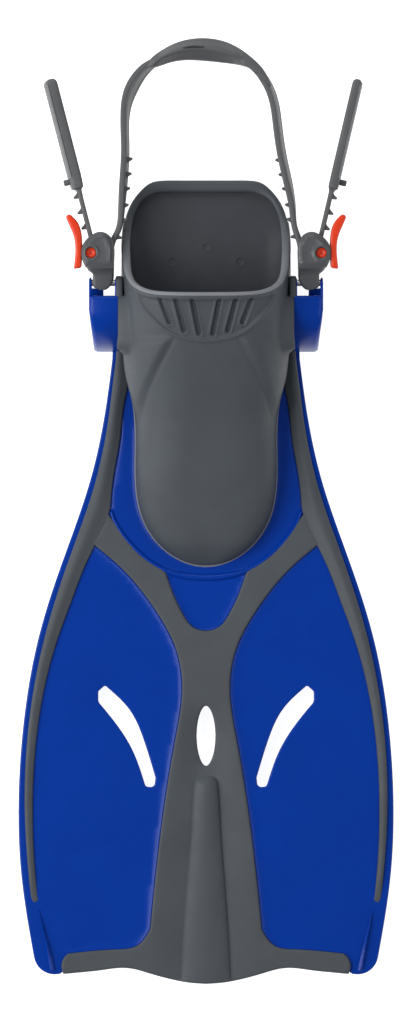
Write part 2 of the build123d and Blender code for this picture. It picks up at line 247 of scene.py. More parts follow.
class Build:
    """Vertices and faces of one piece, which may have several shells."""

    def __init__(self):
        self.v = []
        self.f = []
        self.second = []  # spans of faces that take the second material, a lighter copy that paints highlights

    def add(self, verts, faces, painted_highlight=False):
        base = len(self.v)
        if painted_highlight:
            self.second.append((len(self.f), len(self.f) + len(faces)))
        self.v += [tuple(float(c) for c in p) for p in verts]
        self.f += [tuple(base + i for i in face) for face in faces]

    def flip(self):
        """Turns the piece into its mirror image across the fin's middle."""
        self.v = [(-x, y, z) for x, y, z in self.v]
        self.f = [tuple(reversed(face)) for face in self.f]
        return self

    def piece(self, name, body, material, node, sharp=38, weld=0, painted_highlight=None):
        """Makes the object, which rides on a body if one is given."""
        mesh = bpy.data.meshes.new(name)
        mesh.from_pydata([Vector(p) * MM for p in self.v], [], self.f)
        mesh.materials.append(material)
        # the second material is a lighter copy of the first, laid on chosen faces as painted
        # highlights
        if painted_highlight:
            mesh.materials.append(painted_highlight)
            for low, high in self.second:
                for polygon in mesh.polygons[low:high]:
                    polygon.material_index = 1
        bm = bmesh.new()
        bm.from_mesh(mesh)
        if weld:
            bmesh.ops.remove_doubles(bm, verts=bm.verts, dist=weld * MM)
        bmesh.ops.dissolve_degenerate(bm, edges=bm.edges, dist=1e-7)
        loose = [v for v in bm.verts if not v.link_faces]
        bmesh.ops.delete(bm, geom=loose, context="VERTS")
        bmesh.ops.recalc_face_normals(bm, faces=bm.faces)
        bm.to_mesh(mesh)
        bm.free()
        mesh.polygons.foreach_set("use_smooth", [True] * len(mesh.polygons))
        mesh.set_sharp_from_angle(angle=math.radians(sharp))
        obj = placed(name, mesh)
        if body:
            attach(obj, body)
        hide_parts(node)
        return obj


def on_both_sides(draw, name, body, material, node, sharp):
    """A piece drawn for the right, and its mirror image; {} in a name is the side."""
    made = []
    for side, way in SIDES.items():
        b = Build()
        draw(b)
        if way < 0:
            b.flip()
        called, rides, stands_for = (t and t.format(side) for t in (name, body, node))
        made.append(b.piece(called, rides, material, stands_for, sharp))
    return made


def rounded(d, r):
    """How far a rounded edge of radius r lies below the face, at depth d from the edge."""
    t = r - np.clip(d, 0, r)
    return r - np.sqrt(np.maximum(r * r - t * t, 0))


def plate(build, loops, top, bottom, spacing, rings, extra=None):
    """Closed slab over a plan outline with holes.

    top and bottom give heights from x, y and the depth d behind the nearest edge. Rings are
    the depths of the rows of vertices that follow the edges; the rest is a grid.
    """
    edges = []
    base = 0
    for line in loops:
        n = len(line)
        edges += [(base + i, base + (i + 1) % n) for i in range(n)]
        base += n
    more = []
    for number, line in enumerate(loops):
        across = inwards(line)
        probe = line + across * 0.05
        if inside(probe, loops[0]).mean() < 0.5 or (
            number and inside(probe, line).mean() > 0.5
        ):
            across = -across
        more += [clear_of(line + across * ring, loops, 0.93 * ring) for ring in rings]
    low, high = loops[0].min(0), loops[0].max(0)
    xs = np.arange(low[0] + spacing * 0.37, high[0], spacing)
    ys = np.arange(low[1] + spacing * 0.41, high[1], spacing)
    grid = np.stack(np.meshgrid(xs, ys), axis=2).reshape(-1, 2)
    if extra is not None:
        gap = np.sqrt(((grid[:, None] - extra[None]) ** 2).sum(2)).min(1)
        grid = grid[gap > spacing * 0.5]
        more.append(extra)
    grid = clear_of(grid, loops, rings[-1] + spacing * 0.45)
    more.append(grid[within(grid, loops)])
    points = [Vector(p) for block in (*loops, *more) for p in block]
    verts, _, faces, *_ = delaunay_2d_cdt(points, edges, [], 2, 1e-5)
    flat = np.array(verts)
    turned = []
    centres = np.array([(flat[a] + flat[b] + flat[c]) / 3 for a, b, c in faces])
    for (a, b, c), kept in zip(faces, within(centres, loops)):
        area = np.linalg.det([flat[b] - flat[a], flat[c] - flat[a]])
        if kept and abs(area) > 1e-7:
            turned.append((a, b, c) if area > 0 else (a, c, b))
    depth = distance(flat, loops)
    up = top(flat[:, 0], flat[:, 1], depth)
    down = bottom(flat[:, 0], flat[:, 1], depth)
    count = len(flat)
    body = [(x, y, z) for (x, y), z in zip(flat, up)]
    body += [(x, y, z) for (x, y), z in zip(flat, down)]
    seen = dict.fromkeys(e for a, b, c in turned for e in ((a, b), (b, c), (c, a)))
    sides = [(b, a, a + count, b + count) for a, b in seen if (b, a) not in seen]
    under = [(a + count, c + count, b + count) for a, b, c in turned]
    build.add(body, turned + under + sides)


def slab(build, loops, face, spacing, rings, extra=None):
    """Plate level with the pins; face gives half its thickness, which may differ per side."""
    def side(way):
        return lambda x, y, d: PIN_Z + way * face(x, y, d, way)

    plate(build, loops, side(1), side(-1), spacing, rings, extra)


def strip(build, rings, painted_highlight=False):
    """Skin over a row of rings of points, with a cap at each end."""
    n = len(rings[0])
    faces = []
    for low in range(0, n * (len(rings) - 1), n):
        turn = [(low + j, low + (j + 1) % n) for j in range(n)]
        faces += [(a, b, b + n, a + n) for a, b in turn]
    last = range(n * (len(rings) - 1), n * len(rings))
    faces += [range(n)[::-1], last]
    # flagged faces take the lighter second material, a painted highlight
    build.add([p for ring in rings for p in ring], faces, painted_highlight)


def raised(outline, *heights):
    """One plan outline at several heights, as rings."""
    return [[(x, y, z) for x, y in outline] for z in heights]


def superbox(half_w, half_h, corner):
    """Closed section of a rounded box, counter-clockwise."""
    corner = min(corner, half_w * 0.98, half_h * 0.98)
    out = []
    for quarter, (sx, sy) in enumerate(((1, 1), (-1, 1), (-1, -1), (1, -1))):
        for k in range(6):
            a = math.pi / 2 * (quarter + k / 5)
            x = sx * (half_w - corner) + corner * math.cos(a)
            y = sy * (half_h - corner) + corner * math.sin(a)
            out.append((x, y))
    return out


def mid(y):
    """Height of the blade's middle surface."""
    rise = natural(
        [-400, -300, -210, -140, -95, -50], [5.4, 10.6, 13.4, 12.3, 8.4, FLAT_MID]
    )
    return np.where(np.asarray(y) > -50, FLAT_MID, rise(y))


# --- materials


def shader(name, colour, rough, coat=0, metal=0, specular=0.5):
    material = bpy.data.materials.new(name)
    material.use_nodes = True
    nodes = material.node_tree.nodes
    links = material.node_tree.links
    b = nodes["Principled BSDF"]
    b.inputs["Base Color"].default_value = (*colour, 1)
    b.inputs["Roughness"].default_value = rough
    b.inputs["Metallic"].default_value = metal
    b.inputs["Coat Weight"].default_value = coat
    b.inputs["Coat Roughness"].default_value = 0.1
    b.inputs["Specular IOR Level"].default_value = specular
    return material, nodes, links, b


def noise(nodes, links, scale, **values):
    where = nodes.new("ShaderNodeTexCoord")
    t = nodes.new("ShaderNodeTexNoise")
    t.inputs["Scale"].default_value = scale
    for key, value in values.items():
        t.inputs[key].default_value = value
    links.new(where.outputs["Object"], t.inputs["Vector"])
    return t


def ramp(nodes, links, source, stops, target):
    """Colours a 0 to 1 value by a row of stops and feeds it to an input."""
    r = nodes.new("ShaderNodeValToRGB")
    while len(r.color_ramp.elements) < len(stops):
        r.color_ramp.elements.new(0.5)
    for element, (at, colour) in zip(r.color_ramp.elements, stops):
        element.position = at
        element.color = (*colour, 1)
    links.new(source, r.inputs["Fac"])
    links.new(r.outputs["Color"], target)


def spread_over(nodes, links, source, low, high, target):
    """Maps a 0 to 1 value to a range and feeds it to an input."""
    span = nodes.new("ShaderNodeMapRange")
    span.inputs["To Min"].default_value = low
    span.inputs["To Max"].default_value = high
    links.new(source, span.inputs["Value"])
    links.new(span.outputs["Result"], target)


def shades(colour, *factors):
    return [tuple(c * f for c in colour) for f in factors]


def moulded(name, colour, rough, grain, depth, specular, coat=0, spread=0.12):
    """Moulded polymer: faint cloudiness, fine grain and a roughness that wanders."""
    material, nodes, links, b = shader(name, colour, rough, coat, specular=specular)
    cloud = noise(nodes, links, 26, Detail=5, Roughness=0.6)
    stops = zip((0.3, 0.5, 0.72), shades(colour, 1 - spread, 1, 1 + spread))
    ramp(nodes, links, cloud.outputs["Fac"], list(stops), b.inputs["Base Color"])
    speck = noise(nodes, links, 140, Detail=3)
    low, high = rough * 0.86, min(1, rough * 1.16)
    spread_over(nodes, links, speck.outputs["Fac"], low, high, b.inputs["Roughness"])
    fine = noise(nodes, links, grain, Detail=4, Roughness=0.7)
    bumps = nodes.new("ShaderNodeBump")
    bumps.inputs["Strength"].default_value = depth
    bumps.inputs["Distance"].default_value = 0.0002
    links.new(fine.outputs["Fac"], bumps.inputs["Height"])
    links.new(bumps.outputs["Normal"], b.inputs["Normal"])
    return material


def shade_along(material, colour, start, end):
    """Turns a material's colour into another between two stations along the fin, in metres."""
    nodes = material.node_tree.nodes
    links = material.node_tree.links
    base = nodes["Principled BSDF"].inputs["Base Color"]
    before = base.links[0].from_socket
    where = nodes.new("ShaderNodeTexCoord")
    split = nodes.new("ShaderNodeSeparateXYZ")
    links.new(where.outputs["Object"], split.inputs["Vector"])
    span = nodes.new("ShaderNodeMapRange")
    span.inputs["From Min"].default_value = start
    span.inputs["From Max"].default_value = end
    links.new(split.outputs["Y"], span.inputs["Value"])
    mix = nodes.new("ShaderNodeMix")
    mix.data_type = "RGBA"
    links.new(span.outputs["Result"], mix.inputs[0])
    links.new(before, mix.inputs[6])
    mix.inputs[7].default_value = (*colour, 1)
    links.new(mix.outputs[2], base)


def brushed(name, colour):
    material, nodes, links, b = shader(name, colour, 0.28, metal=1)
    lines = noise(nodes, links, 900, Detail=2).outputs["Fac"]
    stops = list(zip((0.3, 0.7), shades(colour, 0.75, 1)))
    ramp(nodes, links, lines, stops, b.inputs["Base Color"])
    spread_over(nodes, links, lines, 0.2, 0.42, b.inputs["Roughness"])
    return material


GREY = (0.050, 0.058, 0.068)
BLUE = moulded("blue_gloss", (0.0002, 0.030, 0.262), 0.24, 420, 0.04, 0.12, 0.04, 0.05)
RUBBER = moulded("grey_rubber", GREY, 0.60, 1500, 0.3, 0.35)
# lighter copy of the grey rubber: painted highlight on the pocket's rim roll and toe bead, faded
# back to the plain grey towards the heel
RIM_PAINTED_HIGHLIGHT = moulded("rim_rubber_painted_highlight", (0.165, 0.175, 0.192), 0.55, 1500, 0.25, 0.4)
shade_along(RIM_PAINTED_HIGHLIGHT, GREY, 0.062, 0.098)
# lighter copy of the strap rubber: painted highlight on the strap's raised lines
STRAP_PAINTED_HIGHLIGHT = moulded("strap_edge_painted_highlight", (0.125, 0.130, 0.138), 0.5, 1200, 0.2, 0.4)
STRAP = moulded("strap_rubber", (0.076, 0.079, 0.084), 0.5, 1200, 0.25, 0.45)
FOAM = moulded("insole_foam", (0.036, 0.040, 0.048), 0.60, 2200, 0.5, 0.3)
SOLE = moulded("sole_rubber", (0.055, 0.060, 0.067), 0.72, 1300, 0.45, 0.3)
SHELL = moulded("buckle_plastic", (0.060, 0.063, 0.069), 0.42, 1000, 0.15, 0.5)
ORANGE = moulded("lever_plastic", (0.62, 0.036, 0.006), 0.34, 800, 0.1, 0.3, 0.12, 0.06)
STEEL = brushed("polished_steel", (0.62, 0.63, 0.65))


# --- plan outlines

BLADE_EDGE = [
    (58.2, 8), (61.6, -18), (71.9, -67.6), (88.8, -117.2), (104.3, -166.8), (113, -216.4),
    (116.4, -272), (115, -309), (110.5, -343), (106.8, -364),
]
TAIL = [
    (94, -374.9), (80, -373.5), (64, -371.8), (52, -370.5), (44, -371.4), (35, -374),
    (25, -376.8), (14, -379.2), (0, -380.4),
]
RAIL_OUT = [
    (55.6, 18.5), (55.9, 9), (57.1, -1.5), (59.1, -18), (68.4, -67.6), (85.2, -117.2),
    (100.6, -166.8), (109.7, -216.4), (112.4, -278), (110.2, -312), (108.5, -329),
]
RAIL_IN = [
    (50, 18.5), (50, 8), (49.4, 0), (48.6, -7), (49.1, -12), (50.4, -18), (53.4, -43),
    (55.7, -56), (57.8, -68.5), (58.7, -77), (59.3, -84), (61, -91), (64.8, -99.5),
    (69.3, -108.8), (73.6, -117.6), (83.2, -142), (92.2, -166.8), (103.7, -216.4), (107.5, -278),
    (105.9, -312), (104.5, -326),
]
CRESCENT_SIDE = [
    (48, -8.7), (50.2, -18), (53.3, -42.8), (57.4, -67.6), (58.9, -80), (58.9, -87.4),
]
CRESCENT_TOE = [
    (58.9, -87.4), (57, -92.4), (49, -104.8), (36, -117.2), (25.4, -123.4), (0, -127.9),
    (-25.4, -123.4), (-36, -117.2), (-49, -104.8), (-57, -92.4), (-58.9, -87.4),
]
POCKET_PLAN = [
    (0, -121), (26, -110.5), (39.5, -91), (43.8, -62), (43.6, -42), (45.6, -20), (49.2, -7),
    (51.2, 6), (52.4, 45), (51.7, 84), (49.2, 97.5), (45, 106.4), (39.6, 112.9),
    (34.2, 116.9), (28, 118.2), (18, 118.4), (0, 118.4),
]

pocket_side = curve(list(flip(POCKET_PLAN)) + POCKET_PLAN[1:], 0.5)
pocket_side = pocket_side[len(pocket_side) // 2 :]
TOE_Y = float(pocket_side[0][1])
tail_line = curve(TAIL)
right_edge = chain(
    curve(BLADE_EDGE, 2), arc3((106.8, -364), (102.5, -371.5), (94, -374.6), 9),
)
vent_out = curve([(66.3, -205.8), (54.6, -220.4), (45.2, -236), (38, -256)], 1.4)
vent_in = curve([(60.6, -196.8), (47.6, -210), (38.6, -229), (31.4, -252.3)], 1.4)
side_vent = chain(
    vent_out,
    arc3(vent_out[-1], (37.2, -257.5), (35.6, -258), 4),
    arc3((35.2, -258), (32.8, -257.6), (31.7, -255), 5),
    vent_in[::-1],
    arc3((61.5, -196), (62.5, -195.4), (63.6, -195.8), 4),
    arc3((66.1, -198), (66.6, -198.6), (66.8, -199.5), 4),
    [(66.8, -202), (66.8, -204.4)],
)
vent_turn = np.linspace(0, math.tau, 61)[:-1]
centre_vent = pairs(
    5.8 * np.sign(np.sin(vent_turn)) * np.abs(np.sin(vent_turn)) ** 1.08,
    -226.3 + 18.6 * np.sign(np.cos(vent_turn)) * np.abs(np.cos(vent_turn)) ** 1.02,
)
toe_rim = curve(CRESCENT_TOE)
crescent_side = curve(CRESCENT_SIDE)
crescent = chain(
    crescent_side, toe_rim, flip(crescent_side), straight((-48, -8.7), (48, -8.7), 4)
)

web_upper = curve([(62, -86.5), (53.3, -98.6), (41, -113.6), (25.4, -123.4)], 1.4)
NOTCH = [(25.4, -123.4), (18.9, -141.5), (14.4, -150.5), (8.6, -158.2)]
web_notch = curve(NOTCH + [(0, -161)] + [(-x, y) for x, y in reversed(NOTCH)], 1.4)
web_lower = curve(
    [(72, -106), (51.5, -123.4), (31.6, -148.2), (18.6, -173), (14.9, -197.8), (19.2, -228.8),
     (25.4, -266), (31.6, -315.6), (34.7, -346.6)]
)
web_flare = curve([(34.7, -346.6), (42.8, -356.6), (56, -358.9), (85.6, -361.5)], 1.4)
web_edge = chain(web_lower, web_flare)
web_half = chain(
    web_notch[: len(web_notch) // 2 + 1][::-1], web_upper[::-1], web_edge,
    arc3((85.6, -361.5), (89.6, -367.2), (88.5, -374.2), 8),
    tail_line[tail_line[:, 0] < 87.5],
)
web_outline = chain(web_half, flip(web_half))


def pocket_half(y):
    return np.interp(y, pocket_side[:, 1], pocket_side[:, 0])


# --- blade


def blade_top(x, y, d):
    p = pairs(x, y)
    z = mid(y) + PLATE_HALF - rounded(d, 0.8)
    rim = gap_to(p, toe_rim)
    within = inside(p, crescent)
    gap = gap_to(p, np.concatenate([flip(pocket_side[:260]), pocket_side[:260]]))
    bead = 1.9 * bow(rim / (1.3 + 0.8 * bump(x, 0, 26)))
    dish = np.where(within, 0.5 + 0.9 * np.exp(-gap / 1.4), 0)
    side = gap_to(p, crescent_side, flip(crescent_side))
    dish *= smooth(np.minimum(side, rim), 0, 1) * smooth(-y, 24, 40)
    tip_fall = smooth(-y, 352, 372) * 0.5
    web_gap = gap_to(p, web_edge, flip(web_edge), web_notch)
    seam = 0.45 * bow((web_gap - 0.55) / 0.6)
    return z + np.maximum(np.maximum(bead, dish), seam) - tip_fall


def blade_bottom(x, y, d):
    return mid(y) - PLATE_HALF + rounded(d, 0.8)


def post(build):
    """Strap post: a bevelled block with a curved front, and two clevis ears."""
    front = curve(
        [(42.5, 41.8), (34, 40.9), (27, 37.6), (21, 31.8), (16.6, 24.2), (13.8, 15.5),
         (12.2, 7.5)], 1.8
    )
    outline = chain(
        straight((46.5, 2.6), (46.5, 40.2), 6), arc3((46.5, 40.2), (45.9, 41.6), (44.6, 42), 5),
        front, arc3((12, 6.4), (12.6, 4), (14.8, 2.4), 5),
    )
    rings = []
    for x, pull in ((POST_IN, 0), (69.6, 0), (70.9, 0.4), (71.8, 1), (POST_OUT, 1.9)):
        ring = outline + inwards(outline) * pull
        taper = 0.15 * (1 - smooth(ring[:, 0], 13, 40))
        rings.append([(x - t * (x - POST_IN), y, z) for t, (y, z) in zip(taper, ring)])
    strip(build, rings)
    shelf = [(45.5, 4.5), (50.6, 8), (51.8, 16), (51, 24.5), (49.2, 26), (45.5, 26.4)]
    strip(build, [[(x, y, z) for y, z in shelf] for x in (63.6, 64.2, 71.6, 72.3)])
    for low, high in ((53.4, 56.4), (70.7, 72.5)):
        ear = chain(
            straight((36, 40.5), (PIN_Y, 38.6), 3),
            arc3((PIN_Y, 38.6), (57.8, 35), (PIN_Y, 31.4), 14),
            straight((PIN_Y, 31.4), (36, 33.5), 3),
        )
        middle = np.array([48, 35.5])
        bevel = ((0, 0.86), (0.35, 0.97), (0.7, 1))
        spots = [(low + step, share) for step, share in bevel]
        spots += [(high - step, share) for step, share in bevel[::-1]]
        strip(build, [[(x, *(middle + (p - middle) * share)) for p in ear] for x, share in spots])


def strake(build):
    """Low fin on the tip's corner."""
    rows = []
    for k in range(15):
        t = k / 14
        y = -334.5 - 37.5 * t
        x = 103.7 - 8.1 * t
        half = 0.25 + 2 * math.sin(math.pi * min(1, 0.1 + 0.62 * t)) * t**0.6
        high = 0.1 + 2.4 * math.sin(math.pi * min(0.97, 0.04 + 0.75 * t))
        z = float(mid(y)) + PLATE_HALF - 0.8
        rows.append(
            [(x - half, y, z), (x - half * 0.75, y, z + 0.8 + high * 0.6), (x, y, z + 0.8 + high),
             (x + half * 0.5, y, z + 0.8 + high * 0.55), (x + half, y, z)]
        )
    strip(build, rows)


def make_blade():
    b = Build()
    notch = [(88.2, -372.4), (86, -370), (86, -365)]
    half = chain(right_edge, [(94, -374.6), (90.8, -374.3)], notch)
    rear = straight((-57.4, 43), (57.4, 43), 6)
    under_strip = straight((86, -365), (29.5, -365), 3)
    window = curve([(8, -186), (11, -205), (14, -235), (21, -285), (28, -350)], 3)
    outline = chain(
        rear, [(57.8, 24)], half, under_strip, window[::-1],
        window * [-1, 1], flip(under_strip), flip(half), [(-57.8, 24)],
    )
    zone = []

    def beside(line, shift, both=True):
        """Mesh points along a line moved to its left, and on the fin's other half."""
        spot = line + shift * directions(line)[1]
        zone.extend([spot, flip(spot)] if both else [spot])

    for ring in (0.5, 1, 1.5, 2.2, 3.4, 5):
        for way in (-1, 1):
            beside(toe_rim, way * ring, both=False)
    zone.append(toe_rim)
    for ring in (0.6, 1.4, 2.6, 4.2, 6.5):
        beside(pocket_side[4:250:3], -ring)
    for ring in (0, 0.5, 1.1):
        beside(crescent_side, -ring)
    for ring in (0.05, 0.55, 1.1):
        beside(web_edge, ring)
        beside(web_notch, -ring, both=False)
    extra = thin(np.concatenate(zone), 0.42)
    extra = clear_of(extra, [outline], 0.4)
    loops = [outline, side_vent, flip(side_vent)]
    plate(b, loops, blade_top, blade_bottom, 4, (0.2, 0.5, 0.9, 2.2), extra)
    other = Build()
    post(other)
    strake(other)
    b.add(other.v, other.f)
    b.add(other.flip().v, other.f)
    b.piece("blade_shell", "fin", BLUE, "blade")


def thin(points, gap):
    """Drops points that crowd an earlier one."""
    seen = {}
    out = []
    for p in points:
        column, row = int(p[0] // gap), int(p[1] // gap)
        close = [
            q for i in (-1, 0, 1) for j in (-1, 0, 1) for q in seen.get((column + i, row + j), ())
        ]
        if all(math.dist(p, q) >= gap for q in close):
            seen.setdefault((column, row), []).append(p)
            out.append(p)
    return np.array(out)


# --- rails and web


def make_rails():
    outer, inner = curve(RAIL_OUT), curve(RAIL_IN)
    end = arc3(inner[-1], (106.2, -330), outer[-1], 7)
    outline = chain(outer, end[::-1], inner[::-1])

    def top(x, y, d):
        p = pairs(x, y)
        to_out = gap_to(p, outer)
        width = to_out + gap_to(p, inner)
        u = to_out / np.maximum(width, 1e-6)
        ridge = np.where(u < 0.36, smooth(u, -0.28, 0.36), 1 - 0.9 * smooth(u, 0.36, 1))
        high = 1.2 + 2.6 * np.clip(width / 11, 0.3, 1) * ridge
        return mid(y) + PLATE_HALF + high * smooth(-y, 331, 310) + 0.15 - rounded(d, 0.9)

    def bottom(x, y, d):
        low = natural([-330, -290, -200, -100, 12], [0.6, 0.6, 2, 2.8, 2.8])(y)
        low = low + (mid(y) - 2 - low) * smooth(-y, 298, 327)
        return np.minimum(low, mid(y) - 2) + rounded(d, 1)

    def draw(b):
        plate(b, [outline], top, bottom, 1.7, (0.2, 0.5, 0.9, 1.7))

    on_both_sides(draw, "{}_rail_moulding", "fin", RUBBER, "{}_side_rail", 50)


def make_web():
    rib = [
        (0, -249.8), (3.6, -250.5), (6, -252.2), (7.4, -255), (8, -260), (8.8, -272),
        (9.6, -287), (11.4, -310), (13.2, -333), (14.7, -355), (16.4, -392),
    ]
    rib = np.concatenate([straight(a, b, 0.8)[:-1] for a, b in zip(rib, rib[1:])])

    def top(x, y, d):
        ax = np.abs(x)
        base = PLATE_HALF + 1.7 - rounded(d, 1.1)
        half_web = np.interp(
            -y, [161, 173, 197.8, 228.8, 266, 315.6, 346.6, 380],
            [20, 18.6, 14.9, 19.2, 25.4, 31.6, 34.7, 36],
        )
        across = np.clip(ax / half_web, 0, 1)
        scoop = -3.1 * smooth(-y, 196, 236) * (1 - smooth(across, 0.05, 1))
        half_rib = np.interp(-y, -rib[:, 1], rib[:, 0], left=-1)
        start = smooth(-y, 249.8, 256)
        u = np.clip(ax / np.maximum(half_rib, 0.3), 0, 1)
        dome = 0.9 * smooth(1 - u, 0, 0.09) + 4 * (1 - u**2.3)
        rise = np.where((half_rib > 0) & (u < 1), dome * start, 0)
        flat = smooth(ax, 30, 40) * smooth(-y, 345, 360)
        return mid(y) + base + scoop * (1 - flat) + rise

    def bottom(x, y, d):
        return mid(y) - PLATE_HALF - 1.4 + rounded(d, 1.1)

    extra = []
    for shift in (-0.05, 0.45, 0.95, 1.8, -0.6, -1.6):
        spot = rib + shift * directions(rib)[1]
        spot = spot[(spot[:, 0] >= 0) & (spot[:, 1] > -378)]
        extra += [spot, flip(spot)]
    loops = [web_outline, centre_vent]
    extra = thin(clear_of(np.concatenate(extra), loops, 1.9), 0.4)
    b = Build()
    plate(b, loops, top, bottom, 2.6, (0.2, 0.55, 1.1, 2), extra)
    b.piece("web_moulding", "fin", RUBBER, "centre_web", 50)


# --- foot pocket

RIM_Y = [44.3, 45.9, 48.3, 53.1, 60.6, 70.6, 82, 95, 111, 130]
RIM_Z = [92, 77, 67, 57, 46.5, 36, 26, 18.5, 13.5, 12.5]
ARCH = 2 / 3.1  # power of the superellipse that the pocket's sections follow
HEEL_CUT = 92  # station behind which the wall follows the plan, with no arch
NOSE = 15  # length over which the toe end rounds up
FLOOR = 6.5  # the inner skin goes no lower

rim_z_at = natural(RIM_Y, RIM_Z)
rim_table_y = np.linspace(44.3, 130, 700)
rim_table_z = np.minimum.accumulate(rim_z_at(rim_table_y))
arch_top = natural(
    [-121, -112, -94, -70, -42, -12, 18, 48, 60], [20.5, 25, 31.5, 38.5, 46, 55.5, 66.5, 76, 79.5]
)


def pocket_base(y):
    """Height at which the pocket meets the blade or its own sole."""
    on_blade = mid(y) + PLATE_HALF - 1
    return SOLE_TOP + (on_blade - SOLE_TOP) * smooth(-np.asarray(y, float), 0, 55)


def arch_point(y, c, s):
    """Outer skin at station y; c and s place it round the arch."""
    low = pocket_base(y)
    nose = bow(1 - np.clip((y - TOE_Y) / NOSE, 0, 1))
    high = low + (arch_top(y) - low) * nose
    return pocket_half(y) * np.sign(c) * np.abs(c) ** ARCH, low + (high - low) * s**ARCH


def arch_angles(count):
    """Angles that lie evenly round half of a typical arch, from its foot to its top."""
    a = np.linspace(0, math.pi / 2, 4000)
    run = run_along(pairs(50 * np.cos(a) ** ARCH, 58 * np.sin(a) ** ARCH))
    return np.interp(np.linspace(0, run[-1], count), run, a)


FAN_EDGE = curve(
    [(-43, 47.5), (-41.5, 43), (-33.5, 32.4), (-25.4, 25), (-13, 19.8), (0, 18.2), (13, 19.8),
     (25.4, 25), (33.5, 32.4), (41.5, 43), (43, 47.5)], 1
)
FAN = chain(FAN_EDGE, [(43, 60), (-43, 60)])
GROOVES = [((29.9, 47.6), (22.9, 29.4)), ((19.8, 47.6), (13.6, 24.2)), ((9.3, 47.6), (4.3, 22.4))]
CREASE = curve(
    [(20.5, 19), (25.5, 9.5), (31.6, -2.5), (36.6, -14.9), (39.9, -25.5), (42.6, -38)], 1.5
)


def pocket_relief(x, y, z):
    """How far the moulded detail stands proud of the pocket's skin."""
    p = pairs(np.abs(x), y)
    fan_gap = gap_to(p, FAN_EDGE)
    out = np.where(inside(p, FAN), -1 * smooth(fan_gap, 0.3, 1.5), 0)
    out = (out + 0.8 * bump(fan_gap, 0, 0.95)) * smooth(z, 38, 44)
    for groove in GROOVES:
        gap = gap_to(p, np.array(groove))
        out = out - 2.3 * (1 - smooth(gap, 0.7, 1.8)) + 0.5 * bump(gap, 2.3, 0.6)
    gap = gap_to(p, CREASE)
    beyond = np.sign(np.interp(y, CREASE[::-1, 1], CREASE[::-1, 0]) - p[:, 0])
    fade = window(y, -48, -30, 17, 22)
    across = -beyond * gap
    flank = 2.1 * smooth(across, -0.6, 4.6) * (1 - 0.75 * smooth(across, 6, 20))
    return out + (flank - 0.35 * bump(across, -0.4, 1.2)) * fade * smooth(z, 24, 34)


